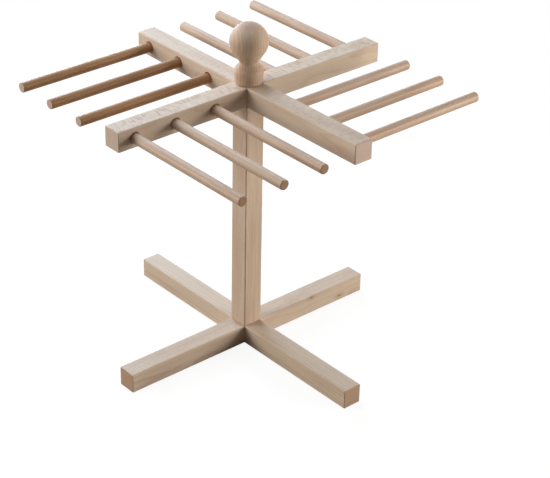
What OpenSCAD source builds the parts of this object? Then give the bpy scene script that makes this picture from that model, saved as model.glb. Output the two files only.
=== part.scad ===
/* [Bars] */
// Side of the square bars that both crosses are cut from
bar_w = 19; // [16:0.5:24]
// Length of the base bar that runs left to right, unbroken on top
base_upper_l = 296; // [200:2:340]
// Length of the base bar that runs front to back, notched on top
base_lower_l = 280; // [200:2:340]
// Length of each bar of the upper cross
top_bar_l = 296; // [220:2:340]
// Radius of the eased edges along the bars and the post
arris_r = 1.2; // [0.5:0.1:2.5]
// Radius of the eased edges round the bars' sawn ends
end_r = 0.8; // [0.3:0.1:2]
// Side play of a bar in the other bar's half-lap notch
lap_play = 0.1; // [0.05:0.05:0.4]

/* [Post] */
// Side of the square post
post_w = 20; // [16:0.5:24]
// Length of the post between the two crosses
post_l = 226; // [120:2:320]
// Radius of the eased edges round both ends of the post
post_end_r = 0.5; // [0.2:0.1:1.5]

/* [Rods] */
// Diameter of the rods
rod_d = 9.25; // [6:0.25:10]
// Distance of every rod's tip from the middle line of its arm
rod_reach = 150; // [80:1:200]
// Distance of the inner rods from the post's axis
rod_first = 45; // [30:1:50]
// Distance of the outer rods from the ends of the arms
rod_last = 17; // [8:1:30]
// Length of rod inside its hole
rod_seat = 12; // [6:0.5:13]
// Radial play of a rod in its hole
rod_play = 0.4; // [0.1:0.05:0.6]
// Room between a rod's inner end and the bottom of its hole
rod_end_gap = 0.5; // [0.2:0.1:1]
// Radius of the rounded rims of the rods' ends
rod_end_r = 0.8; // [0.3:0.1:2]
// Width of the countersink round the mouth of each rod hole
rod_mouth = 0.5; // [0.1:0.1:0.8]

/* [Knob] */
// Height of the knob above the upper cross
knob_h = 56; // [55:0.5:70]
// Diameter of the knob's ball
ball_d = 34.5; // [26:0.5:35]
// Diameter of the neck under the ball
neck_d = 16.5; // [12:0.5:18]
// Height of the neck's narrowest place above the foot
neck_h = 19.5; // [19:0.5:20.5]
// Radius of the hollow that rounds the neck
neck_cove_r = 1.5; // [1:0.25:2.5]
// Diameter of the collar under the neck
collar_d = 26.5; // [26:0.5:32]
// Height of the collar's widest place above the foot
collar_h = 10.5; // [8:0.5:11.5]
// Radius of the collar's rounded shoulder
shoulder_r = 6.5; // [3:0.25:6.5]
// Diameter of the knob's foot
foot_d = 24.5; // [18:0.5:26]
// Chamfer round the knob's foot
foot_ease = 1.2; // [0.2:0.1:2]

/* [Stud and insert] */
// Diameter of the hanger bolt that holds the upper cross down
stud_d = 6; // [5:0.5:7]
// Whole length of the hanger bolt
stud_l = 50; // [42:1:54]
// Length of the hanger bolt inside the knob
stud_in_knob = 20; // [14:0.5:24]
// Taper at both ends of the hanger bolt
stud_taper = 1.2; // [0.3:0.1:2]
// Radial play of the hanger bolt in the upper cross
stud_play = 0.4; // [0.2:0.05:1]
// Outside diameter of the threaded insert in the post
insert_d = 10; // [9:0.5:12]
// Length of the threaded insert
insert_l = 13; // [10:0.5:16]
// Width of the screwdriver slot across the insert
insert_slot_w = 1.2; // [0.6:0.1:2]
// Depth of the screwdriver slot across the insert
insert_slot_h = 1.5; // [0.5:0.1:3]
// Room below the hanger bolt in the post
stud_tip_gap = 4; // [1:0.5:10]

/* [Base screw] */
// Diameter of the wood screw that holds the base cross to the post
screw_d = 4.5; // [3.5:0.5:5.5]
// Length of the wood screw
screw_l = 60; // [45:1:80]
// Diameter of the screw's countersunk head
screw_head_d = 9; // [8:0.5:11]
// Height of the screw's countersunk head
screw_head_h = 2.7; // [2:0.1:3.5]
// Depth of the screw's head below the underside
screw_sink = 1; // [0.2:0.1:2]
// Length of the screw's point
screw_point_l = 5; // [2:0.5:8]
// Width of the screw's blunt tip
screw_tip_d = 1; // [0.5:0.1:2]

/* [Hidden] */

// Gap all round a part that is driven or threaded into another
snug_gap = 0.05;
// Overrun of every cut past the face that it opens
over = 1;
// Colours of the woods and metals
wood = "#c9b092";
rod_wood = "#b8977a";
steel = "#b9bcc0";
brass = "#c8a24a";
round_fn = 64;

// The way each arm points, seen from above
right_arm = [1, 0];
back_arm = [0, 1];
left_arm = [-1, 0];
front_arm = [0, -1];

// Distance of the three rods of an arm from the post's axis: the middle one is halfway
inner = rod_first;
outer = top_bar_l / 2 - rod_last;
middle = (inner + outer) / 2;

// Heights of the pieces that stand on each other
lap_h = bar_w / 2;
post_z = bar_w;
top_z = post_z + post_l;
knob_z = top_z + bar_w;
stud_z = knob_z + stud_in_knob - stud_l;
insert_z = top_z - insert_l;

rod_hole_r = rod_d / 2 + rod_play;
rod_root = bar_w / 2 - rod_seat;
rod_l = rod_reach - rod_root;
// Height of the rods' axes: each rod lies on the bottom of its hole
rod_z = top_z + lap_h - rod_play + snug_gap;
stud_r = stud_d / 2;
screw_r = screw_d / 2;

// The turn that carries a piece of the right arm to another arm
function turn_to(arm) = [0, 0, atan2(arm[1], arm[0])];

// A rectangle about the origin with rounded corners
module rounded_rect(l, w, r) {
    square([l, w - 2 * r], center = true);
    square([l - 2 * r, w], center = true);
    for (x = [-1, 1], y = [-1, 1])
        translate([x * (l / 2 - r), y * (w / 2 - r)])
            circle(r = r, $fn = round_fn);
}

// A square bar along X about the origin, with its edges eased along and round both ends
module eased_bar(l, w, end_r) {
    intersection() {
        rotate([90, 0, 90])
            linear_extrude(height = l, center = true)
                rounded_rect(w, w, arris_r);
        linear_extrude(height = w, center = true)
            rounded_rect(l, w, end_r);
        rotate([90, 0, 0])
            linear_extrude(height = w, center = true)
                rounded_rect(l, w, end_r);
    }
}

// A bar of either cross, along X, its underside at z = 0
module cross_bar(l) {
    translate([0, 0, lap_h])
        eased_bar(l, bar_w, end_r);
}

// The half-lap notch across the middle of a bar, in its underside or its top
module lap_notch(on_top) {
    w = bar_w + 2 * lap_play;
    z = on_top ? lap_h : -over;
    translate([-w / 2, -bar_w / 2 - over, z])
        cube([w, bar_w + 2 * over, lap_h + over]);
}

// A base bar: the wood screw comes up through its middle
module base_bar(l, on_top) {
    difference() {
        cross_bar(l);
        lap_notch(on_top);
        translate([0, 0, -over])
            cylinder(r = screw_r + snug_gap, h = bar_w + 2 * over, $fn = round_fn);
        if (on_top)
            countersink();
    }
}

// The conical seat of the screw's head, open below
module countersink() {
    seat_r = screw_head_d / 2 + snug_gap;
    translate([0, 0, screw_sink])
        cylinder(r1 = seat_r, r2 = screw_r + snug_gap, h = screw_head_h, $fn = round_fn);
    translate([0, 0, -over])
        cylinder(r = seat_r, h = over + screw_sink, $fn = round_fn);
}

module base_bar_upper() {
    color(wood)
        base_bar(base_upper_l, false);
}

module base_bar_lower() {
    color(wood)
        rotate(turn_to(back_arm))
            base_bar(base_lower_l, true);
}

// The post: the insert's hole in its upper end, the screw's hole in its lower end
module post() {
    screw_hole_h = screw_sink + screw_l - post_z + snug_gap;
    stud_hole_z = stud_z - stud_tip_gap;
    color(wood)
        difference() {
            translate([0, 0, post_z + post_l / 2])
                rotate([0, 90, 0])
                    eased_bar(post_l, post_w, post_end_r);
            translate([0, 0, insert_z])
                cylinder(d = insert_d, h = insert_l + over, $fn = round_fn);
            translate([0, 0, stud_hole_z])
                cylinder(r = stud_r + stud_play, h = insert_z - stud_hole_z + over, $fn = round_fn);
            translate([0, 0, post_z - over])
                cylinder(r = screw_r + snug_gap, h = screw_hole_h + over, $fn = round_fn);
        }
}

// The countersunk wood screw, head down
module base_screw() {
    shank_h = screw_l - screw_head_h - screw_point_l;
    color(steel)
        translate([0, 0, screw_sink]) {
            cylinder(d1 = screw_head_d, d2 = screw_d, h = screw_head_h, $fn = round_fn);
            translate([0, 0, screw_head_h])
                cylinder(d = screw_d, h = shank_h, $fn = round_fn);
            translate([0, 0, screw_head_h + shank_h])
                cylinder(d1 = screw_d, d2 = screw_tip_d, h = screw_point_l, $fn = round_fn);
        }
}

// The threaded insert, flush with the post's upper end
module post_insert() {
    color(brass)
        translate([0, 0, insert_z])
            difference() {
                cylinder(d = insert_d, h = insert_l, $fn = round_fn);
                translate([0, 0, -over])
                    cylinder(r = stud_r + snug_gap, h = insert_l + 2 * over, $fn = round_fn);
                translate([-insert_d / 2 - over, -insert_slot_w / 2, insert_l - insert_slot_h])
                    cube([insert_d + 2 * over, insert_slot_w, insert_slot_h + over]);
            }
}

// The blind hole for one rod, in a bar along X whose two arms are the right and the left one
module rod_hole(arm, place) {
    depth = rod_seat + rod_end_gap;
    rotate(turn_to(arm))
        translate([place, bar_w / 2, lap_h])
            rotate([90, 0, 0]) {
                translate([0, 0, -over])
                    cylinder(r = rod_hole_r, h = depth + over, $fn = round_fn);
                cylinder(r1 = rod_hole_r + rod_mouth, r2 = rod_hole_r, h = rod_mouth, $fn = round_fn);
            }
}

// A bar of the upper cross: three rod holes in one side of each arm
module top_bar(on_top) {
    translate([0, 0, top_z])
        difference() {
            cross_bar(top_bar_l);
            lap_notch(on_top);
            translate([0, 0, -over])
                cylinder(r = stud_r + stud_play, h = bar_w + 2 * over, $fn = round_fn);
            for (arm = [right_arm, left_arm], place = [inner, middle, outer])
                rod_hole(arm, place);
        }
}

module top_bar_upper() {
    color(wood)
        top_bar(false);
}

module top_bar_lower() {
    color(wood)
        rotate(turn_to(back_arm))
            top_bar(true);
}

// One rod, with rounded rims at both ends, lying in its hole in the side of an arm
module rod(arm, place) {
    color(rod_wood)
        rotate(turn_to(arm))
            translate([place, rod_root, rod_z])
                rotate([-90, 0, 0])
                    rotate_extrude($fn = round_fn)
                        intersection() {
                            translate([0, rod_l / 2])
                                rounded_rect(rod_d, rod_l, rod_end_r);
                            square([rod_d, rod_l]);
                        }
}

// The outward angle of the line that touches two circles of the knob's outline, a to b.
// A circle is [radius from the axis, height, radius], and a hollow has a negative radius.
function touch_angle(a, b) =
    let (dr = b[0] - a[0], dz = b[1] - a[1])
    atan2(dz, dr) - acos((a[2] - b[2]) / norm([dr, dz]));

// The point of a circle of the outline that faces an angle
function rim_point(c, angle) = [c[0] + c[2] * cos(angle), c[1] + c[2] * sin(angle)];

// The knob's outline: a straight-sided foot, a rounded collar, a hollow neck and a ball
module knob_outline() {
    foot = [foot_d / 2, foot_ease, 0];
    shoulder = [collar_d / 2 - shoulder_r, collar_h, shoulder_r];
    cove = [neck_d / 2 + neck_cove_r, neck_h, -neck_cove_r];
    ball = [0, knob_h - ball_d / 2, ball_d / 2];
    foot_side = touch_angle(foot, shoulder);
    flare = touch_angle(shoulder, cove);
    cone = touch_angle(cove, ball);
    difference() {
        union() {
            polygon([
                [0, 0],
                [foot[0] - foot_ease, 0],
                [foot[0], foot[1]],
                rim_point(shoulder, foot_side),
                rim_point(shoulder, flare),
                rim_point(cove, flare),
                rim_point(cove, cone),
                rim_point(ball, cone),
                [0, ball[1]]
            ]);
            translate([shoulder[0], shoulder[1]])
                circle(r = shoulder_r, $fn = round_fn);
            translate([0, ball[1]])
                intersection() {
                    circle(d = ball_d, $fn = round_fn);
                    translate([0, -ball_d / 2])
                        square([ball_d, ball_d]);
                }
        }
        translate([cove[0], cove[1]])
            circle(r = neck_cove_r, $fn = round_fn);
    }
}

module knob() {
    color(wood)
        translate([0, 0, knob_z])
            difference() {
                rotate_extrude($fn = round_fn)
                    knob_outline();
                translate([0, 0, -over])
                    cylinder(r = stud_r + snug_gap, h = stud_in_knob + snug_gap + over, $fn = round_fn);
            }
}

// The hanger bolt, tapered at both ends
module knob_stud() {
    color(steel)
        translate([0, 0, stud_z]) {
            cylinder(r1 = stud_r - stud_taper / 2, r2 = stud_r, h = stud_taper, $fn = round_fn);
            translate([0, 0, stud_taper])
                cylinder(r = stud_r, h = stud_l - 2 * stud_taper, $fn = round_fn);
            translate([0, 0, stud_l - stud_taper])
                cylinder(r1 = stud_r, r2 = stud_r - stud_taper / 2, h = stud_taper, $fn = round_fn);
        }
}

base_bar_upper();
base_bar_lower();
post();
base_screw();
post_insert();
top_bar_upper();
top_bar_lower();
rod(front_arm, inner);  // front_rod_inner
rod(front_arm, middle);  // front_rod_middle
rod(front_arm, outer);  // front_rod_outer
rod(right_arm, inner);  // right_rod_inner
rod(right_arm, middle);  // right_rod_middle
rod(right_arm, outer);  // right_rod_outer
rod(back_arm, inner);  // back_rod_inner
rod(back_arm, middle);  // back_rod_middle
rod(back_arm, outer);  // back_rod_outer
rod(left_arm, inner);  // left_rod_inner
rod(left_arm, middle);  // left_rod_middle
rod(left_arm, outer);  // left_rod_outer
knob();
knob_stud();
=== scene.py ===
"""The looks of a beech pasta drying rack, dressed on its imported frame. Metres, +Z up."""
import math
import random

import bmesh
import bpy
from mathutils import Euler, Matrix, Vector


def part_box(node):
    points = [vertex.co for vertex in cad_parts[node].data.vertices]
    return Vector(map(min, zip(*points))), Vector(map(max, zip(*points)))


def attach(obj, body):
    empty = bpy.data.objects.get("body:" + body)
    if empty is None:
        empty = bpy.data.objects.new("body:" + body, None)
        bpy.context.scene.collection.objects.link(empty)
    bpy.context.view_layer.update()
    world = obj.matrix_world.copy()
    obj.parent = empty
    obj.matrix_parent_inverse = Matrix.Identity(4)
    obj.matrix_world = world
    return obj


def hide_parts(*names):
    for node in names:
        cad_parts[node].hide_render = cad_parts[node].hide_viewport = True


bl_info = {
    "name": "Pasta Drying Rack",
    "version": (1, 0, 0),
    "blender": (4, 5, 0),
    "location": "3D View > Sidebar > Rack",
    "description": "Finishes a beech pasta drying rack and its hidden hardware, and sets its stage",
    "category": "Object",
}

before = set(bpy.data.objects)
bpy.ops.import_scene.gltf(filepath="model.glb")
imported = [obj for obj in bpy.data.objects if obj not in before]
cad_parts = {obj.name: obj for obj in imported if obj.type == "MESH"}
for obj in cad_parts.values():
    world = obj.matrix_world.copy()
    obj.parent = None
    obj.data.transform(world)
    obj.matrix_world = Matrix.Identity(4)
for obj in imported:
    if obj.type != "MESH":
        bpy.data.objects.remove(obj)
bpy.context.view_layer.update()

MM = 0.001
PLACES = ("inner", "middle", "outer")

# Turns that bring the grain of a piece along X, Y or Z to the pattern's own Z axis
GRAIN_TURN = {
    "X": (0, -math.pi / 2, 0),
    "Y": (math.pi / 2, 0, 0),
    "Z": (0, 0, 0),
}

# Slants to the grain, as cosines, at which a bar's or rod's rim begins to show end grain and shows it fully
END_SLANTS = (0.6, 0.97)

# Sizes of the patterns in a log, in millimetres across the grain, across it and along it
BENDS = (28.57, 28.57, 125)
FIGURE = (11.11, 11.11, 62.5)
FIBRES = (0.5263, 0.5263, 20)

# Distance in millimetres over which growth rings go from narrow to wide
RING_DRIFT = 6.25

# Room that each ray has round the rings and out from the pith, in millimetres. It fills about two thirds
RAY_BREADTH = 1.25
RAY_REACH = 11.11

# Sockets of a Mix node that mixes colours
MIX_A, MIX_B, MIX_RESULT = 6, 7, 2


def linear(code):
    """A colour written as an sRGB hex value, as linear red, green and blue."""
    parts = [int(code[i:i + 2], 16) / 255 for i in (1, 3, 5)]
    return [v / 12.92 if v <= 0.04045 else ((v + 0.055) / 1.055) ** 2.4 for v in parts]


def between(first, second, share):
    """The colour that lies that share of the way from the first colour to the second."""
    return [a + (b - a) * share for a, b in zip(first, second)]


class RackBeech(bpy.types.PropertyGroup):
    """Colours and grain of the raw beech"""
    pale: bpy.props.FloatVectorProperty(
        name="Pale wood", description="Palest colour of the planed wood",
        subtype="COLOR", min=0, max=1, default=linear("#dac6b3"))
    rosy: bpy.props.FloatVectorProperty(
        name="Rosy wood", description="Colour of the pinker stretches of the wood",
        subtype="COLOR", min=0, max=1, default=linear("#c9aa95"))
    # On the left arm's rods, which take it in full, this brown is painted shade
    brown: bpy.props.FloatVectorProperty(
        name="Brown wood", description="Colour that the darker pieces lean to",
        subtype="COLOR", min=0, max=1, default=linear("#aa7c51"))
    late: bpy.props.FloatVectorProperty(
        name="Late wood", description="Tint of the dense rim of each growth ring",
        subtype="COLOR", min=0, max=1, default=linear("#dacabd"))
    end: bpy.props.FloatVectorProperty(
        name="Ends", description="Colour of the end grain of the post, the upper bars and the brown rods",
        subtype="COLOR", min=0, max=1, default=linear("#cfbab0"))
    brown_end: bpy.props.FloatVectorProperty(
        name="Brown ends", description="Colour of the base bars' end grain",
        subtype="COLOR", min=0, max=1, default=linear("#b28e76"))
    rod_end: bpy.props.FloatVectorProperty(
        name="Rod ends", description="Colour of the pale rods' end grain, dark from the saw",
        subtype="COLOR", min=0, max=1, default=linear("#946c4d"))
    fleck: bpy.props.FloatVectorProperty(
        name="Flecks", description="Tint of the darker rays",
        subtype="COLOR", min=0, max=1, default=linear("#d4b9b0"))
    halo: bpy.props.FloatVectorProperty(
        name="Knot halo", description="Colour of the wood round a knot",
        subtype="COLOR", min=0, max=1, default=linear("#a07d66"))
    knot: bpy.props.FloatVectorProperty(
        name="Pin knots", description="Colour of the small dark knots",
        subtype="COLOR", min=0, max=1, default=linear("#6b4733"))
    ring_width: bpy.props.FloatProperty(
        name="Ring width", description="Mean width of a growth ring",
        unit="LENGTH", min=0.5 * MM, max=8 * MM, default=2.4 * MM)
    # The brighter rays' lustre is painted into their colour: a painted sheen
    painted_ray_sheen: bpy.props.FloatProperty(
        name="Lustre", description="How much brighter than the wood the brighter rays are",
        subtype="FACTOR", min=0, max=0.5, default=0.2)
    ray_length: bpy.props.FloatProperty(
        name="Ray length", description="Room that each ray has along the grain, of which it fills two thirds",
        unit="LENGTH", min=0.5 * MM, max=8 * MM, default=1.25 * MM)
    roughness: bpy.props.FloatProperty(
        name="Roughness", description="Roughness of the sanded faces",
        subtype="FACTOR", min=0, max=1, default=0.55)
    rod_roughness: bpy.props.FloatProperty(
        name="Rod roughness", description="Roughness of the rods, which the cutter burnishes",
        subtype="FACTOR", min=0, max=1, default=0.42)
    gloss: bpy.props.FloatProperty(
        name="Gloss", description="How strongly the sanded faces reflect, where 0.5 is a smooth coat",
        subtype="FACTOR", min=0, max=1, default=0.22)
    rod_gloss: bpy.props.FloatProperty(
        name="Rod gloss", description="How strongly the pale rods reflect",
        subtype="FACTOR", min=0, max=1, default=0.28)
    brown_rod_gloss: bpy.props.FloatProperty(
        name="Brown rod gloss", description="How strongly the left arm's browner rods reflect",
        subtype="FACTOR", min=0, max=1, default=0.4)
    relief: bpy.props.FloatProperty(
        name="Relief", description="Height that the sanded fibres stand up",
        unit="LENGTH", min=0, max=0.2 * MM, default=0.04 * MM)
    rod_relief: bpy.props.FloatProperty(
        name="Rod relief", description="Height that the rods' pressed fibres stand up",
        unit="LENGTH", min=0, max=0.2 * MM, default=0.01 * MM)


class RackHardware(bpy.types.PropertyGroup):
    """Metals and threads of the screw, the hanger bolt and the insert"""
    zinc: bpy.props.FloatVectorProperty(
        name="Zinc", description="Colour of the zinc plating",
        subtype="COLOR", min=0, max=1, default=linear("#c4c8cc"))
    zinc_shade: bpy.props.FloatVectorProperty(
        name="Zinc shade", description="Colour of the duller patches of the plating",
        subtype="COLOR", min=0, max=1, default=linear("#9fa4a8"))
    brass: bpy.props.FloatVectorProperty(
        name="Brass", description="Colour of the insert's brass",
        subtype="COLOR", min=0, max=1, default=linear("#cfa95c"))
    brass_shade: bpy.props.FloatVectorProperty(
        name="Brass shade", description="Colour of the tarnished patches of the brass",
        subtype="COLOR", min=0, max=1, default=linear("#a37d3c"))
    machine_pitch: bpy.props.FloatProperty(
        name="Machine pitch", description="Pitch of the hanger bolt's machine thread",
        unit="LENGTH", min=0.5 * MM, max=2 * MM, default=1 * MM)
    wood_pitch: bpy.props.FloatProperty(
        name="Wood pitch", description="Pitch of the threads that bite in wood",
        unit="LENGTH", min=1 * MM, max=4 * MM, default=2.2 * MM)
    recess: bpy.props.FloatProperty(
        name="Cross recess", description="Width of the cross recess over its wings",
        unit="LENGTH", min=2 * MM, max=7 * MM, default=4.8 * MM)


class RackStage(bpy.types.PropertyGroup):
    """Camera, lamps and floor"""
    azimuth: bpy.props.FloatProperty(
        name="Azimuth", description="Turn of the camera about the rack, from the front",
        subtype="ANGLE", default=math.radians(48.74))
    elevation: bpy.props.FloatProperty(
        name="Elevation", description="Height of the camera above the level, as an angle",
        subtype="ANGLE", default=math.radians(30.04))
    roll: bpy.props.FloatProperty(
        name="Roll", description="Turn of the camera about its own line of sight",
        subtype="ANGLE", default=math.radians(1.17))
    distance: bpy.props.FloatProperty(
        name="Distance", description="Distance from the camera to the point it looks at",
        unit="LENGTH", default=1592.1 * MM)
    aim: bpy.props.FloatVectorProperty(
        name="Aim", description="Point that the camera looks at",
        subtype="TRANSLATION", default=(39.3 * MM, 0, 123.0 * MM))
    lens: bpy.props.FloatProperty(
        name="Focal length", description="Focal length in millimetres on a 36 mm wide frame",
        min=10, max=300, default=115.77)
    left_power: bpy.props.FloatProperty(
        name="Left lamp", description="Power of the tall lamp to the rack's left",
        unit="POWER", min=0, default=60)
    right_power: bpy.props.FloatProperty(
        name="Right lamp", description="Power of the lower lamp to the rack's right",
        unit="POWER", min=0, default=22)
    back_power: bpy.props.FloatProperty(
        name="Back lamp", description="Power of the lamp behind the rack, on the left",
        unit="POWER", min=0, default=24)
    upper_power: bpy.props.FloatProperty(
        name="Upper lamp", description="Power of the small lamp close above the rack",
        unit="POWER", min=0, default=2.15)
    side_tint: bpy.props.FloatVectorProperty(
        name="Side tint", description="Colour of the light from the sides",
        subtype="COLOR", min=0, max=1, default=linear("#fffaee"))
    upper_tint: bpy.props.FloatVectorProperty(
        name="Upper tint", description="Colour of the light from above",
        subtype="COLOR", min=0, max=1, default=linear("#e4f2ff"))
    back_tint: bpy.props.FloatVectorProperty(
        name="Back tint", description="Colour of the light from behind",
        subtype="COLOR", min=0, max=1, default=linear("#cbe6ff"))
    shine: bpy.props.FloatProperty(
        name="Shine", description="Brightness of the surroundings in reflections",
        min=0, max=2, default=1)
    floor: bpy.props.FloatVectorProperty(
        name="Floor", description="Colour of the pale floor",
        subtype="COLOR", min=0, max=1, default=linear("#e9e8e6"))
    bounce: bpy.props.FloatVectorProperty(
        name="Floor bounce", description="Colour of the floor as the rack sees it, warm and rather dark",
        subtype="COLOR", min=0, max=1, default=linear("#b6aaa0"))
    glow: bpy.props.FloatProperty(
        name="Floor glow", description="Brightness that the camera sees in the floor besides its light",
        min=0, max=1, default=0.9)


def add_node(tree, kind, inputs=None, **settings):
    """Adds a node with its settings, and links its inputs or gives them their values."""
    made = tree.nodes.new(kind)
    for name, value in settings.items():
        setattr(made, name, value)
    for name, value in (inputs or {}).items():
        if isinstance(value, bpy.types.NodeSocket):
            tree.links.new(value, made.inputs[name])
        else:
            made.inputs[name].default_value = value
    return made


def rgba(colour):
    """A colour with full cover, as a node's socket wants it."""
    return (*colour, 1)


def log_space(tree, node, along, pith):
    """Where each point of a piece lay in its log, in millimetres from the pith with the grain along Z.

    Gives the sockets of its place in the piece and in the log, its distance from the pith, the way
    outwards, and the way that its face looks.
    """
    low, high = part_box(node)
    turn = Euler(GRAIN_TURN[along])
    middle = turn.to_matrix() @ (low + high) / 2 / MM
    place = add_node(tree, "ShaderNodeTexCoord")
    log = add_node(tree, "ShaderNodeMapping", {
        "Vector": place.outputs["Object"],
        "Location": (pith[0] - middle.x, pith[1] - middle.y, -middle.z),
        "Rotation": turn,
        "Scale": (1 / MM, 1 / MM, 1 / MM),
    })
    # The trunk isn't straight, so its rings wander by a few millimetres
    wander = 9
    slow = add_node(tree, "ShaderNodeVectorMath", {
        0: log.outputs["Vector"], 1: [1 / size for size in BENDS]}, operation="MULTIPLY")
    bends = add_node(tree, "ShaderNodeTexNoise", {
        "Vector": slow.outputs["Vector"], "Scale": 1, "Detail": 2, "Roughness": 0.45})
    bent = add_node(tree, "ShaderNodeVectorMath", {
        0: bends.outputs["Color"], 1: (wander, wander, 0), 2: log.outputs["Vector"]},
        operation="MULTIPLY_ADD")
    flat = add_node(tree, "ShaderNodeVectorMath", {
        0: bent.outputs["Vector"], 1: (1, 1, 0)}, operation="MULTIPLY")
    radius = add_node(tree, "ShaderNodeVectorMath", {0: flat.outputs["Vector"]}, operation="LENGTH")
    outward = add_node(tree, "ShaderNodeVectorMath", {0: flat.outputs["Vector"]}, operation="NORMALIZE")
    facing = add_node(tree, "ShaderNodeMapping", {
        "Vector": place.outputs["Normal"], "Rotation": turn}, vector_type="NORMAL")
    return {
        "piece": place.outputs["Object"],
        "log": bent.outputs["Vector"],
        "radius": radius.outputs["Value"],
        "outward": outward.outputs["Vector"],
        "facing": facing.outputs["Vector"],
    }


def growth_rims(tree, radius):
    """Growth rings: each darkens slowly to its dense rim, where this is 1, and then starts pale again."""
    look = bpy.context.scene.rack_beech
    # A high power leaves only the last part of each year dark
    rim_power = 4
    uneven = add_node(tree, "ShaderNodeTexNoise", {
        "W": radius, "Scale": 1 / RING_DRIFT, "Detail": 1}, noise_dimensions="1D")
    years = add_node(tree, "ShaderNodeMath", {
        0: radius, 1: MM / look.ring_width, 2: uneven.outputs["Fac"]}, operation="MULTIPLY_ADD")
    drifted = add_node(tree, "ShaderNodeMath", {
        0: uneven.outputs["Fac"], 1: years.outputs["Value"]}, operation="ADD")
    year = add_node(tree, "ShaderNodeMath", {0: drifted.outputs["Value"]}, operation="FRACT")
    rim = add_node(tree, "ShaderNodeMath", {0: year.outputs["Value"], 1: rim_power}, operation="POWER")
    return rim.outputs["Value"]


def ray_cover(tree, wood, reach, flecks):
    """Rays, which stand out from the pith: how plain one is at each point, and 1 where it is one of the
    brighter ones, whose sheen is painted into the colour.

    They are up to 0.3 mm thick in beech, and are drawn about 0.8 mm thick so that they show.
    reach is the pith's distance in millimetres.
    """
    look = bpy.context.scene.rack_beech
    faded_share = 0.15
    dark_share = 0.5
    parts = add_node(tree, "ShaderNodeSeparateXYZ", {"Vector": wood["log"]})
    angle = add_node(tree, "ShaderNodeMath", {
        0: parts.outputs["Y"], 1: parts.outputs["X"]}, operation="ARCTAN2")
    arc = add_node(tree, "ShaderNodeMath", {0: angle.outputs["Value"], 1: reach}, operation="MULTIPLY")
    unrolled = add_node(tree, "ShaderNodeCombineXYZ", {
        "X": arc.outputs["Value"], "Y": wood["radius"], "Z": parts.outputs["Z"]})
    cells = add_node(tree, "ShaderNodeVectorMath", {
        0: unrolled.outputs["Vector"], 1: (1 / RAY_BREADTH, 1 / RAY_REACH, MM / look.ray_length)},
        operation="MULTIPLY")
    rays = add_node(tree, "ShaderNodeTexVoronoi", {
        "Vector": cells.outputs["Vector"], "Scale": 1, "Randomness": 1})
    # They show on faces cut along them, and fade on faces that look out from the pith or in to it
    slant = add_node(tree, "ShaderNodeVectorMath", {
        0: wood["facing"], 1: wood["outward"]}, operation="DOT_PRODUCT")
    either = add_node(tree, "ShaderNodeMath", {0: slant.outputs["Value"]}, operation="ABSOLUTE")
    strength = add_node(tree, "ShaderNodeMapRange", {
        "Value": either.outputs["Value"], "From Min": 0.3, "From Max": 0.9,
        "To Min": flecks, "To Max": faded_share * flecks})
    ray = add_node(tree, "ShaderNodeMapRange", {
        "Value": rays.outputs["Distance"], "From Min": 0.52, "From Max": 0.16,
        "To Min": 0, "To Max": strength.outputs["Result"]}, interpolation_type="SMOOTHSTEP")
    chance = add_node(tree, "ShaderNodeSeparateColor", {"Color": rays.outputs["Color"]})
    shines = add_node(tree, "ShaderNodeMath", {
        0: chance.outputs["Red"], 1: dark_share}, operation="GREATER_THAN")
    return ray.outputs["Result"], shines.outputs["Value"]


def fibre_noise(tree, place):
    """Fibres along the grain: 0.1 mm thick in the wood, and drawn about 0.5 mm thick so that they show."""
    fine = add_node(tree, "ShaderNodeVectorMath", {
        0: place, 1: [1 / size for size in FIBRES]}, operation="MULTIPLY")
    fibres = add_node(tree, "ShaderNodeTexNoise", {
        "Vector": fine.outputs["Vector"], "Scale": 1, "Detail": 3, "Roughness": 0.6})
    return fibres.outputs["Fac"]


def sawn_cover(tree, facing, begins, full):
    """Sawn ends: 1 on faces that look along the grain, from 0 at the slant where end grain begins."""
    parts = add_node(tree, "ShaderNodeSeparateXYZ", {"Vector": facing})
    either = add_node(tree, "ShaderNodeMath", {0: parts.outputs["Z"]}, operation="ABSOLUTE")
    sawn = add_node(tree, "ShaderNodeMapRange", {
        "Value": either.outputs["Value"], "From Min": begins, "From Max": full},
        interpolation_type="SMOOTHSTEP")
    return sawn.outputs["Result"]


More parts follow.
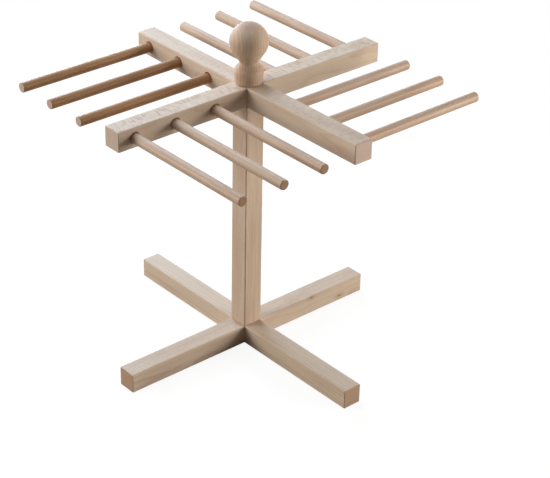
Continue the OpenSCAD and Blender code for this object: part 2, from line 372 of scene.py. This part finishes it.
def grain_colour(tree, wood, tone, rings):
    """Colour of the planed wood, from its broad figure up to its rings, rays and fibres, with a painted sheen
    that lightens the brighter rays.
    """
    look = bpy.context.scene.rack_beech
    rosiness, brownness = tone
    rosy_spread = 0.35
    # Broad stretches that are paler or rosier
    broad = add_node(tree, "ShaderNodeVectorMath", {
        0: wood["log"], 1: [1 / size for size in FIGURE]}, operation="MULTIPLY")
    figure = add_node(tree, "ShaderNodeTexNoise", {
        "Vector": broad.outputs["Vector"], "Scale": 1, "Detail": 2})
    blush = add_node(tree, "ShaderNodeMapRange", {
        "Value": figure.outputs["Fac"], "From Min": 0.3, "From Max": 0.7,
        "To Min": rosiness - rosy_spread, "To Max": rosiness + rosy_spread})
    plain = add_node(tree, "ShaderNodeMix", {
        0: blush.outputs["Result"],
        MIX_A: rgba(between(look.pale, look.brown, brownness)),
        MIX_B: rgba(between(look.rosy, look.brown, brownness))}, data_type="RGBA", clamp_factor=True)
    ring_cover = add_node(tree, "ShaderNodeMath", {0: wood["rim"], 1: rings}, operation="MULTIPLY")
    ringed = add_node(tree, "ShaderNodeMix", {
        0: ring_cover.outputs["Value"], MIX_A: plain.outputs[MIX_RESULT],
        MIX_B: rgba(look.late)}, data_type="RGBA", blend_type="MULTIPLY")
    # Painted sheen: the brighter rays are lightened in colour, standing for the lustre that beech's rays show
    # in the light
    sheen_painted_ray = add_node(tree, "ShaderNodeMath", {0: wood["ray"], 1: wood["shines"]}, operation="MULTIPLY")
    dark_ray = add_node(tree, "ShaderNodeMath", {
        0: wood["ray"], 1: sheen_painted_ray.outputs["Value"]}, operation="SUBTRACT")
    flecked = add_node(tree, "ShaderNodeMix", {
        0: dark_ray.outputs["Value"], MIX_A: ringed.outputs[MIX_RESULT],
        MIX_B: rgba(look.fleck)}, data_type="RGBA", blend_type="MULTIPLY")
    fibre_tone = add_node(tree, "ShaderNodeMapRange", {
        "Value": wood["fibres"], "From Min": 0.3, "From Max": 0.7, "To Min": 0.93, "To Max": 1.06})
    brightness = add_node(tree, "ShaderNodeMath", {
        0: sheen_painted_ray.outputs["Value"], 1: look.painted_ray_sheen, 2: fibre_tone.outputs["Result"]},
        operation="MULTIPLY_ADD")
    toned = add_node(tree, "ShaderNodeVectorMath", {
        0: flecked.outputs[MIX_RESULT], "Scale": brightness.outputs["Value"]}, operation="SCALE")
    return toned.outputs["Vector"]


def sanded_surface(tree, wood, finish, shader):
    """Sanding leaves the fibres dull, the rays a little brighter and the ends rough."""
    roughness, gloss, relief_height = finish
    ray_polish = 0.1
    end_roughness = 0.2
    rim_height = 0.4
    dull = add_node(tree, "ShaderNodeMapRange", {
        "Value": wood["fibres"], "From Min": 0.3, "From Max": 0.7,
        "To Min": roughness - 0.06, "To Max": roughness + 0.08})
    bright = add_node(tree, "ShaderNodeMath", {
        0: wood["ray"], 1: -ray_polish, 2: dull.outputs["Result"]}, operation="MULTIPLY_ADD")
    rough = add_node(tree, "ShaderNodeMath", {
        0: wood["sawn"], 1: end_roughness, 2: bright.outputs["Value"]},
        operation="MULTIPLY_ADD", use_clamp=True)
    tree.links.new(rough.outputs["Value"], shader.inputs["Roughness"])
    relief = add_node(tree, "ShaderNodeMath", {
        0: wood["rim"], 1: rim_height, 2: wood["fibres"]}, operation="MULTIPLY_ADD")
    bump = add_node(tree, "ShaderNodeBump", {
        "Strength": 0.5, "Distance": relief_height, "Height": relief.outputs["Value"]})
    tree.links.new(bump.outputs["Normal"], shader.inputs["Normal"])
    # Raw wood has no film to reflect, and a fine nap that pales it at a slant
    shader.inputs["Specular IOR Level"].default_value = gloss
    shader.inputs["Sheen Weight"].default_value = 0.06
    shader.inputs["Sheen Roughness"].default_value = 0.5


def beech(node, along, pith, tone, ends, marks, finish, knots=()):
    """Beech, sawn, planed and fine-sanded, and left raw.

    To the eye it is a pale and even wood, a little rosy, with a dull sheen and no shine. Growth rings
    show as soft lines, rays as short flecks across a quartered face and as small dashes on the others,
    and the ends, where the fibres are cut across, are darker and rougher.
    along is the grain's axis, pith the way from the tree's middle to the piece's own, in millimetres
    across the grain, tone how rosy and how brown the piece is, from 0 to 1 each, ends the colour of its
    end grain with the slants at which that begins and is full, marks how plain its growth rings and its
    rays are, from 0 to 1 each, and finish its roughness, gloss and relief.
    """
    end_colour, end_begins, end_full = ends
    rings, flecks = marks
    end_strength = 0.8
    material = bpy.data.materials.new(node + "_raw_beech")
    material.use_nodes = True
    tree = material.node_tree
    shader = tree.nodes["Principled BSDF"]
    wood = log_space(tree, node, along, pith)
    wood["rim"] = growth_rims(tree, wood["radius"])
    wood["ray"], wood["shines"] = ray_cover(tree, wood, math.hypot(*pith), flecks)
    wood["fibres"] = fibre_noise(tree, wood["log"])
    wood["sawn"] = sawn_cover(tree, wood["facing"], end_begins, end_full)
    end_cover = add_node(tree, "ShaderNodeMath", {0: wood["sawn"], 1: end_strength}, operation="MULTIPLY")
    colour = add_node(tree, "ShaderNodeMix", {
        0: end_cover.outputs["Value"], MIX_A: grain_colour(tree, wood, tone, rings),
        MIX_B: rgba(end_colour)}, data_type="RGBA")
    shown = colour.outputs[MIX_RESULT]
    for knot in knots:
        shown = pin_knot(tree, wood["piece"], shown, knot)
    tree.links.new(shown, shader.inputs["Base Color"])
    sanded_surface(tree, wood, finish, shader)
    return material


def pin_knot(tree, spot, colour, knot):
    """A small dark knot with a brown halo drawn out along Y, about its place in millimetres."""
    look = bpy.context.scene.rack_beech
    offset = add_node(tree, "ShaderNodeVectorMath", {
        0: spot, 1: [v * MM for v in knot]}, operation="SUBTRACT")
    squeezed = add_node(tree, "ShaderNodeVectorMath", {
        0: offset.outputs["Vector"], 1: (1 / MM, 0.45 / MM, 1 / MM)}, operation="MULTIPLY")
    away = add_node(tree, "ShaderNodeVectorMath", {0: squeezed.outputs["Vector"]}, operation="LENGTH")
    # The halo ends 4.5 mm from the middle, and the heart just under 1 mm from it
    halo = add_node(tree, "ShaderNodeMapRange", {
        "Value": away.outputs["Value"], "From Min": 4.5, "From Max": 0.8, "To Max": 0.4},
        interpolation_type="SMOOTHSTEP")
    heart = add_node(tree, "ShaderNodeMapRange", {
        "Value": away.outputs["Value"], "From Min": 0.95, "From Max": 0.4, "To Max": 0.8},
        interpolation_type="SMOOTHSTEP")
    ringed = add_node(tree, "ShaderNodeMix", {
        0: halo.outputs["Result"], MIX_A: colour, MIX_B: rgba(look.halo)}, data_type="RGBA")
    filled = add_node(tree, "ShaderNodeMix", {
        0: heart.outputs["Result"], MIX_A: ringed.outputs[MIX_RESULT],
        MIX_B: rgba(look.knot)}, data_type="RGBA")
    return filled.outputs[MIX_RESULT]


def metal(name, bright, shade, roughness, line_pitch):
    """A metal with faint patches of duller surface and fine lathe or rolling lines round Z."""
    patch_size = 4 * MM
    material = bpy.data.materials.new(name)
    material.use_nodes = True
    tree = material.node_tree
    shader = tree.nodes["Principled BSDF"]
    shader.inputs["Metallic"].default_value = 1
    place = add_node(tree, "ShaderNodeTexCoord")
    patches = add_node(tree, "ShaderNodeTexNoise", {
        "Vector": place.outputs["Object"], "Scale": 1 / patch_size, "Detail": 4})
    patch = add_node(tree, "ShaderNodeMapRange", {
        "Value": patches.outputs["Fac"], "From Min": 0.45, "From Max": 0.7})
    colour = add_node(tree, "ShaderNodeMix", {
        0: patch.outputs["Result"], MIX_A: rgba(bright), MIX_B: rgba(shade)}, data_type="RGBA")
    tree.links.new(colour.outputs[MIX_RESULT], shader.inputs["Base Color"])
    rough = add_node(tree, "ShaderNodeMapRange", {
        "Value": patches.outputs["Fac"], "From Min": 0.3, "From Max": 0.7,
        "To Min": roughness - 0.08, "To Max": roughness + 0.14})
    tree.links.new(rough.outputs["Result"], shader.inputs["Roughness"])
    lines = add_node(tree, "ShaderNodeTexWave", {
        "Vector": place.outputs["Object"], "Scale": 1 / line_pitch / math.tau, "Distortion": 0.4},
        bands_direction="Z")
    bump = add_node(tree, "ShaderNodeBump", {
        "Strength": 0.25, "Distance": 0.02 * MM, "Height": lines.outputs["Fac"]})
    tree.links.new(bump.outputs["Normal"], shader.inputs["Normal"])
    return material


def zinc_plated_steel():
    """Bright zinc on cold-headed steel: a cool grey metal with a soft shine and cloudy patches."""
    look = bpy.context.scene.rack_hardware
    return metal("zinc_plated_steel", look.zinc, look.zinc_shade, roughness=0.36, line_pitch=0.35 * MM)


def turned_brass():
    """Free-cutting brass straight off the lathe: a warm yellow metal with fine rings."""
    look = bpy.context.scene.rack_hardware
    return metal("turned_brass", look.brass, look.brass_shade, roughness=0.3, line_pitch=0.25 * MM)


def finish_node(node, material):
    """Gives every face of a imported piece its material."""
    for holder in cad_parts[node].material_slots:
        holder.material = material


def pick(test):
    """In edit mode, selects just the vertices whose place passes the test."""
    bpy.ops.mesh.select_mode(type="VERT")
    mesh = bmesh.from_edit_mesh(bpy.context.object.data)
    for vertex in mesh.verts:
        vertex.select_set(test(vertex.co))
    mesh.select_flush(True)
    mesh.select_flush(False)
    bmesh.update_edit_mesh(bpy.context.object.data)


def turned(name, stations, sides=48):
    """A solid of revolution about Z: a disc raised and widened from station to station, each a height
    and a radius."""
    bpy.ops.object.select_all(action="DESELECT")
    (foot, foot_r), *rest = stations
    bpy.ops.mesh.primitive_circle_add(vertices=sides, radius=foot_r, fill_type="NGON", location=(0, 0, foot))
    piece = bpy.context.object
    piece.name = name
    bpy.ops.object.transform_apply(location=True, rotation=True, scale=True)
    bpy.ops.object.mode_set(mode="EDIT")
    bpy.ops.mesh.select_all(action="SELECT")
    height, radius = foot, foot_r
    for next_height, next_radius in rest:
        bpy.ops.mesh.extrude_region_move(TRANSFORM_OT_translate={"value": (0, 0, next_height - height)})
        bpy.ops.transform.resize(value=(next_radius / radius, next_radius / radius, 1),
                                 center_override=(0, 0, next_height))
        height, radius = next_height, next_radius
    bpy.ops.mesh.select_all(action="SELECT")
    bpy.ops.mesh.normals_make_consistent(inside=False)
    bpy.ops.object.mode_set(mode="OBJECT")
    return piece


def threaded(name, foot, length, crest_r, root_r, pitch, crest_share, steps=28):
    """A threaded rod about Z: the outline of one turn is screwed upwards, cut off square and closed."""
    bpy.ops.object.select_all(action="DESELECT")
    bpy.ops.mesh.primitive_grid_add(
        x_subdivisions=1, y_subdivisions=3, size=pitch,
        location=(root_r + pitch / 2, 0, foot - pitch / 2), rotation=(math.pi / 2, 0, 0))
    piece = bpy.context.object
    piece.name = name
    bpy.ops.object.transform_apply(location=True, rotation=True, scale=True)
    bpy.ops.object.mode_set(mode="EDIT")
    # Only the grid's inner edge is kept: it is the outline of one turn
    pick(lambda v: v.x > root_r + pitch / 2)
    bpy.ops.mesh.delete(type="VERT")
    # Its middle third is drawn out to the crest, and then given the crest's share of the pitch
    pick(lambda v: abs(v.z - foot + pitch / 2) < pitch / 3)
    bpy.ops.transform.translate(value=(crest_r - root_r, 0, 0))
    bpy.ops.transform.resize(value=(1, 1, 3 * crest_share), center_override=(crest_r, 0, foot - pitch / 2))
    bpy.ops.object.mode_set(mode="OBJECT")
    screw = piece.modifiers.new("Thread", "SCREW")
    screw.axis = "Z"
    screw.angle = math.tau
    screw.screw_offset = pitch
    screw.iterations = math.ceil(length / pitch) + 2
    screw.steps = steps
    screw.render_steps = steps
    bpy.ops.object.modifier_apply(modifier=screw.name)
    bpy.ops.object.mode_set(mode="EDIT")
    bpy.ops.mesh.select_all(action="SELECT")
    bpy.ops.mesh.remove_doubles(threshold=pitch / 500)
    cut_square(foot, below=True)
    cut_square(foot + length, below=False)
    bpy.ops.mesh.select_all(action="SELECT")
    bpy.ops.mesh.normals_make_consistent(inside=False)
    bpy.ops.object.mode_set(mode="OBJECT")
    return piece


def cut_square(height, below):
    """In edit mode, cuts away what lies below or above a height, and closes the cut."""
    bpy.ops.mesh.select_all(action="SELECT")
    bpy.ops.mesh.bisect(plane_co=(0, 0, height), plane_no=(0, 0, 1), use_fill=True,
                        clear_inner=below, clear_outer=not below, threshold=0.0001 * MM)


def taper_end(piece, height, rise, share):
    """Draws the end face at a height out by a rise and in to a share of its width, as a lead-in."""
    bpy.ops.object.select_all(action="DESELECT")
    bpy.context.view_layer.objects.active = piece
    piece.select_set(True)
    bpy.ops.object.mode_set(mode="EDIT")
    pick(lambda v: abs(v.z - height) < 0.0005 * MM)
    bpy.ops.mesh.extrude_region_move(TRANSFORM_OT_translate={"value": (0, 0, rise)})
    bpy.ops.transform.resize(value=(share, share, 1), center_override=(0, 0, height + rise))
    bpy.ops.object.mode_set(mode="OBJECT")


def combine(piece, other, operation):
    """Joins another closed piece to this one, or cuts it out of it, and deletes the other."""
    bpy.ops.object.select_all(action="DESELECT")
    bpy.context.view_layer.objects.active = piece
    piece.select_set(True)
    boolean = piece.modifiers.new("Combine", "BOOLEAN")
    boolean.operation = operation
    boolean.solver = "EXACT"
    boolean.object = other
    bpy.ops.object.modifier_apply(modifier=boolean.name)
    bpy.data.objects.remove(other)


def smooth(piece, degrees):
    """Shades a piece smooth, except over edges sharper than an angle."""
    bpy.ops.object.select_all(action="DESELECT")
    bpy.context.view_layer.objects.active = piece
    piece.select_set(True)
    bpy.ops.object.shade_smooth_by_angle(angle=math.radians(degrees))


def sanded():
    """Roughness, gloss and relief of the sanded faces."""
    look = bpy.context.scene.rack_beech
    return look.roughness, look.gloss, look.relief


def place_piece(piece, material, body, node):
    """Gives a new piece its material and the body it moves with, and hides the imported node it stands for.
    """
    piece.data.materials.clear()
    piece.data.materials.append(material)
    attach(piece, body)
    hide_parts(node)


class RACK_OT_base_bars(bpy.types.Operator):
    """Finish the two bars of the base cross"""
    bl_idname = "rack.base_bars"
    bl_label = "Base Bars"

    def execute(self, context):
        look = context.scene.rack_beech
        ends = (look.brown_end, *END_SLANTS)
        marks = (0.45, 0.25)
        finish_node("base_bar_upper", beech(
            "base_bar_upper", "X", pith=(-38, 46), tone=(0, 0), ends=ends, marks=marks, finish=sanded()))
        # The back arm has two pin knots in its right side, at these places in millimetres
        knots = [(9.5, 74.5, 17.1), (9.5, 111.5, 5.2)]
        finish_node("base_bar_lower", beech(
            "base_bar_lower", "Y", pith=(44, -14), tone=(0.12, 0), ends=ends, marks=marks, finish=sanded(),
            knots=knots))
        return {"FINISHED"}


class RACK_OT_post(bpy.types.Operator):
    """Finish the square post"""
    bl_idname = "rack.post"
    bl_label = "Post"

    def execute(self, context):
        look = context.scene.rack_beech
        finish_node("post", beech(
            "post", "Z", pith=(36, 30), tone=(0.3, 0.03), ends=(look.end, *END_SLANTS), marks=(0.3, 0.2),
            finish=sanded()))
        return {"FINISHED"}


class RACK_OT_top_bars(bpy.types.Operator):
    """Finish the two bars of the upper cross"""
    bl_idname = "rack.top_bars"
    bl_label = "Top Bars"

    def execute(self, context):
        look = context.scene.rack_beech
        ends = (look.end, *END_SLANTS)
        finish_node("top_bar_upper", beech(
            "top_bar_upper", "X", pith=(-6, 52), tone=(0.2, 0), ends=ends, marks=(0.3, 0.45),
            finish=sanded()))
        finish_node("top_bar_lower", beech(
            "top_bar_lower", "Y", pith=(48, 5), tone=(0, 0), ends=ends, marks=(0.3, 0.85),
            finish=sanded()))
        return {"FINISHED"}


class RACK_OT_rods(bpy.types.Operator):
    """Finish the twelve rods, each cut from its own stick"""
    bl_idname = "rack.rods"
    bl_label = "Rods"

    seed: bpy.props.IntProperty(name="Seed", description="Picks each rod's stretch of wood", default=6)

    def execute(self, context):
        pick_stick = random.Random(self.seed)
        look = context.scene.rack_beech
        # How brown each arm's rods are, with the colour of their ends and their gloss. The left arm's rods
        # are coloured brown all through: painted shade, as these rods lie in shade
        sticks = {
            "front": (0.1, look.rod_end, look.rod_gloss),
            "right": (0.1, look.rod_end, look.rod_gloss),
            "back": (0.12, look.rod_end, look.rod_gloss),
            "left": (1, look.end, look.brown_rod_gloss),
        }
        # Distance in millimetres from each stick to the middle of its tree
        reach = 40
        for arm, (brownness, end, gloss) in sticks.items():
            along = "X" if arm in ("front", "back") else "Y"
            for place in PLACES:
                heading = pick_stick.uniform(0, math.tau)
                pith = (reach * math.cos(heading), reach * math.sin(heading))
                tone = (pick_stick.uniform(0.3, 0.8), brownness)
                node = f"{arm}_rod_{place}"
                finish_node(node, beech(
                    node, along, pith, tone, ends=(end, *END_SLANTS), marks=(0.5, 0.3),
                    finish=(look.rod_roughness, gloss, look.rod_relief)))
        return {"FINISHED"}


class RACK_OT_knob(bpy.types.Operator):
    """Finish the turned knob"""
    bl_idname = "rack.knob"
    bl_label = "Knob"

    def execute(self, context):
        look = context.scene.rack_beech
        # The ball turns slowly from side grain to the end grain of its crown. The crown is coloured darker
        # than the other ends: real end grain, darkened further as painted shade on the ball's top
        crown = between(look.end, look.brown_end, 0.6)
        finish_node("knob", beech(
            "knob", "Z", pith=(-22, -18), tone=(0.6, 0.12), ends=(crown, 0.7, 1), marks=(0.7, 0.1),
            finish=sanded()))
        return {"FINISHED"}


class RACK_OT_hanger_bolt(bpy.types.Operator):
    """Model the hanger bolt: machine thread below, plain waist, wood thread up in the knob"""
    bl_idname = "rack.hanger_bolt"
    bl_label = "Hanger Bolt"

    def execute(self, context):
        look = context.scene.rack_hardware
        low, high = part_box("knob_stud")
        knob_low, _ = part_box("knob")
        crest = (high.x - low.x) / 2
        lead = 1.2 * MM
        point = 2 * lead
        waist_low = knob_low.z - 5 * MM
        waist_r = crest - 0.25 * MM
        # The depth of a metric thread is 0.61 of its pitch
        root = crest - 0.61 * look.machine_pitch
        wood_root = crest - 0.85 * MM
        bolt = threaded("hanger_bolt", low.z + lead, waist_low - low.z - lead, crest, root,
                        look.machine_pitch, crest_share=0.16)
        taper_end(bolt, low.z + lead, -lead, share=0.72)
        waist = turned("waist", [(waist_low - 0.6 * MM, root), (waist_low, waist_r),
                                 (knob_low.z, waist_r), (knob_low.z + 0.8 * MM, wood_root)])
        combine(bolt, waist, "UNION")
        bite = threaded("bite", knob_low.z, high.z - knob_low.z - point, crest, wood_root,
                        look.wood_pitch, crest_share=0.1)
        taper_end(bite, high.z - point, point, share=0.45)
        combine(bolt, bite, "UNION")
        smooth(bolt, 40)
        place_piece(bolt, zinc_plated_steel(), "stud", "knob_stud")
        return {"FINISHED"}


class RACK_OT_wood_screw(bpy.types.Operator):
    """Model the countersunk wood screw, with its cross recess and its coarse thread"""
    bl_idname = "rack.wood_screw"
    bl_label = "Wood Screw"

    def execute(self, context):
        look = context.scene.rack_hardware
        low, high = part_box("base_screw")
        head_r = (high.x - low.x) / 2
        crest = 2.25 * MM
        root = 1.55 * MM
        shank_r = 1.75 * MM
        rim_h = 0.35 * MM
        rim_bevel = 0.12 * MM
        neck_z = low.z + 2.7 * MM
        shank_top = low.z + 20 * MM
        # The point narrows in two steps of the same height
        step = 2.5 * MM
        point_z = high.z - 2 * step
        screw = turned("base_wood_screw", [
            (low.z, head_r - rim_bevel), (low.z + rim_bevel, head_r), (low.z + rim_h, head_r),
            (neck_z, shank_r + 0.1 * MM), (neck_z + 0.4 * MM, shank_r), (shank_top, shank_r),
            (shank_top + 0.6 * MM, root - 0.05 * MM)])
        bite = threaded("bite", shank_top, point_z - shank_top, crest, root,
                        look.wood_pitch, crest_share=0.08)
        taper_end(bite, point_z, step, share=0.62)
        taper_end(bite, point_z + step, step, share=0.2)
        combine(screw, bite, "UNION")
        for turn in (0, math.pi / 2):
            combine(screw, recess_wing(look.recess, low.z, turn), "DIFFERENCE")
        smooth(screw, 40)
        place_piece(screw, zinc_plated_steel(), "stand", "base_screw")
        return {"FINISHED"}


def recess_wing(width, foot, turn):
    """A tapered blade, the cutter of one slot of the cross recess in a head that faces down."""
    depth = 2.1 * MM
    thickness = 0.95 * MM
    over = 0.4 * MM
    # Shares of its width and thickness that are left at its deep end
    deep_end = (0.32, 0.7, 1)
    bpy.ops.object.select_all(action="DESELECT")
    bpy.ops.mesh.primitive_cube_add(size=1, location=(0, 0, foot + (depth - over) / 2))
    wing = bpy.context.object
    wing.scale = (width, thickness, depth + over)
    bpy.ops.object.transform_apply(location=True, rotation=True, scale=True)
    bpy.ops.object.mode_set(mode="EDIT")
    pick(lambda v: v.z > foot + depth / 2)
    bpy.ops.transform.resize(value=deep_end, center_override=(0, 0, foot + depth))
    bpy.ops.object.mode_set(mode="OBJECT")
    wing.data.transform(Matrix.Rotation(turn, 4, "Z"))
    return wing


class RACK_OT_insert(bpy.types.Operator):
    """Finish the threaded insert in the post"""
    bl_idname = "rack.insert"
    bl_label = "Threaded Insert"

    def execute(self, context):
        finish_node("post_insert", turned_brass())
        return {"FINISHED"}


class RACK_OT_stage(bpy.types.Operator):
    """Set the camera, the lamps, the white surroundings and the floor"""
    bl_idname = "rack.stage"
    bl_label = "Stage"

    def execute(self, context):
        context.scene.view_settings.view_transform = "Standard"
        add_camera(context)
        add_lamps(context)
        add_surroundings(context)
        add_floor(context)
        return {"FINISHED"}


def toward_camera(stage, aside):
    """The level direction from the rack to the camera, turned aside by an angle."""
    heading = stage.azimuth - math.pi / 2 + aside
    return Vector((math.cos(heading), math.sin(heading), 0))


def add_camera(context):
    """The camera at the photograph's angle, on a 36 mm wide frame."""
    stage = context.scene.rack_stage
    turn = (Matrix.Rotation(stage.azimuth, 4, "Z")
            @ Matrix.Rotation(math.pi / 2 - stage.elevation, 4, "X")
            @ Matrix.Rotation(stage.roll, 4, "Z"))
    back = turn @ Vector((0, 0, stage.distance))
    bpy.ops.object.camera_add()
    camera = bpy.context.object
    camera.name = "camera"
    camera.matrix_world = Matrix.Translation(Vector(stage.aim) + back) @ turn
    camera.data.sensor_width = 36
    camera.data.lens = stage.lens
    context.scene.camera = camera


def add_lamps(context):
    """A lamp on either side of the rack, one behind it on the left, and a small one close above it."""
    stage = context.scene.rack_stage
    target = Vector((0, 0, 0.2))
    near = toward_camera(stage, 0)
    right = toward_camera(stage, math.pi / 2)
    up = Vector((0, 0, 1))
    # Each lamp's place to the right, towards the camera and up, its width and height, its power and its tint
    lamps = {
        "left_lamp": ((-2.75, 0.3, 1.05), (1.5, 1.8), stage.left_power, stage.side_tint),
        "right_lamp": ((1.5, 0.12, 0.4), (0.9, 0.9), stage.right_power, stage.side_tint),
        "back_lamp": ((-0.7, -1.34, 0.69), (0.9, 0.9), stage.back_power, stage.back_tint),
        "upper_lamp": ((-0.2, -0.15, 0.78), (0.35, 0.35), stage.upper_power, stage.upper_tint),
    }
    for name, ((rightward, forward, height), size, power, tint) in lamps.items():
        place = rightward * right + forward * near + height * up
        bpy.ops.object.light_add(type="AREA", location=place)
        lamp = bpy.context.object
        lamp.name = name
        lamp.rotation_euler = (target - place).to_track_quat("-Z", "Y").to_euler()
        lamp.data.shape = "RECTANGLE"
        lamp.data.size, lamp.data.size_y = size
        lamp.data.energy = power
        lamp.data.color = tint


def add_surroundings(context):
    """White to the camera and in reflections, and dark to all other rays, which leaves the light to the
    lamps."""
    stage = context.scene.rack_stage
    world = bpy.data.worlds.new("white_surroundings")
    world.use_nodes = True
    context.scene.world = world
    tree = world.node_tree
    light_path = add_node(tree, "ShaderNodeLightPath")
    white = add_node(tree, "ShaderNodeBackground", {"Color": (1, 1, 1, 1), "Strength": 1})
    mirrored = add_node(tree, "ShaderNodeBackground", {"Color": (1, 1, 1, 1), "Strength": stage.shine})
    unseen = add_node(tree, "ShaderNodeMixShader", {
        0: light_path.outputs["Is Glossy Ray"], 2: mirrored.outputs["Background"]})
    shown = add_node(tree, "ShaderNodeMixShader", {
        0: light_path.outputs["Is Camera Ray"], 1: unseen.outputs["Shader"], 2: white.outputs["Background"]})
    tree.links.new(shown.outputs["Shader"], tree.nodes["World Output"].inputs["Surface"])


def add_floor(context):
    """A round pale floor, far wider than the rack's shadow, and a hair below the bars' undersides so that
    the two don't share a plane."""
    stage = context.scene.rack_stage
    radius = 4
    drop = 0.1 * MM
    bpy.ops.object.select_all(action="DESELECT")
    bpy.ops.mesh.primitive_circle_add(vertices=96, radius=radius, fill_type="NGON", location=(0, 0, -drop))
    floor = bpy.context.object
    floor.name = "floor"
    bpy.ops.object.transform_apply(location=True, rotation=True, scale=True)
    floor.data.materials.append(matt_paper(stage))


def matt_paper(stage):
    """Matt white background paper: it shows the rack's shadow, and fades to plain white round it."""
    # Distances from the post's axis at which the fade begins and ends
    fade_begins = 0.3
    fade_ends = 0.9
    material = bpy.data.materials.new("matt_paper")
    material.use_nodes = True
    tree = material.node_tree
    tree.nodes.remove(tree.nodes["Principled BSDF"])
    light_path = add_node(tree, "ShaderNodeLightPath")
    paper = add_node(tree, "ShaderNodeBsdfDiffuse", {"Color": rgba(stage.bounce)})
    # Twice what the glow leaves: the lit floor is then pure white, and a shadow still shows
    lit_share = (1 - stage.glow) * 2
    lit = add_node(tree, "ShaderNodeBsdfDiffuse", {"Color": rgba([v * lit_share for v in stage.floor])})
    glow = add_node(tree, "ShaderNodeEmission", {"Color": (1, 1, 1, 1), "Strength": stage.glow})
    lifted = add_node(tree, "ShaderNodeAddShader", {0: lit.outputs["BSDF"], 1: glow.outputs["Emission"]})
    place = add_node(tree, "ShaderNodeTexCoord")
    away = add_node(tree, "ShaderNodeVectorMath", {0: place.outputs["Object"]}, operation="LENGTH")
    fade = add_node(tree, "ShaderNodeMapRange", {
        "Value": away.outputs["Value"], "From Min": fade_begins, "From Max": fade_ends},
        interpolation_type="SMOOTHSTEP")
    white = add_node(tree, "ShaderNodeEmission", {"Color": (1, 1, 1, 1), "Strength": 1})
    faded = add_node(tree, "ShaderNodeMixShader", {
        0: fade.outputs["Result"], 1: lifted.outputs["Shader"], 2: white.outputs["Emission"]})
    shown = add_node(tree, "ShaderNodeMixShader", {
        0: light_path.outputs["Is Camera Ray"], 1: paper.outputs["BSDF"], 2: faded.outputs["Shader"]})
    tree.links.new(shown.outputs["Shader"], tree.nodes["Material Output"].inputs["Surface"])
    return material


class RACK_PT_sidebar(bpy.types.Panel):
    """The rack's pieces and stage"""
    bl_idname = "RACK_PT_sidebar"
    bl_label = "Pasta Drying Rack"
    bl_space_type = "VIEW_3D"
    bl_region_type = "UI"
    bl_category = "Rack"

    def draw(self, context):
        for operator in OPERATORS:
            self.layout.operator(operator.bl_idname)


OPERATORS = (
    RACK_OT_stage, RACK_OT_base_bars, RACK_OT_post, RACK_OT_top_bars, RACK_OT_rods, RACK_OT_knob,
    RACK_OT_hanger_bolt, RACK_OT_wood_screw, RACK_OT_insert,
)
GROUPS = {"rack_beech": RackBeech, "rack_hardware": RackHardware, "rack_stage": RackStage}


def register():
    for group in GROUPS.values():
        bpy.utils.register_class(group)
    for name, group in GROUPS.items():
        setattr(bpy.types.Scene, name, bpy.props.PointerProperty(type=group))
    for operator in OPERATORS:
        bpy.utils.register_class(operator)
    bpy.utils.register_class(RACK_PT_sidebar)


def unregister():
    bpy.utils.unregister_class(RACK_PT_sidebar)
    for operator in reversed(OPERATORS):
        bpy.utils.unregister_class(operator)
    for name, group in GROUPS.items():
        delattr(bpy.types.Scene, name)
        bpy.utils.unregister_class(group)


def main():
    register()
    bpy.ops.rack.stage()
    bpy.ops.rack.base_bars()
    bpy.ops.rack.post()
    bpy.ops.rack.top_bars()
    bpy.ops.rack.rods()
    bpy.ops.rack.knob()
    bpy.ops.rack.hanger_bolt()
    bpy.ops.rack.wood_screw()
    bpy.ops.rack.insert()


if __name__ == "__main__":
    main()
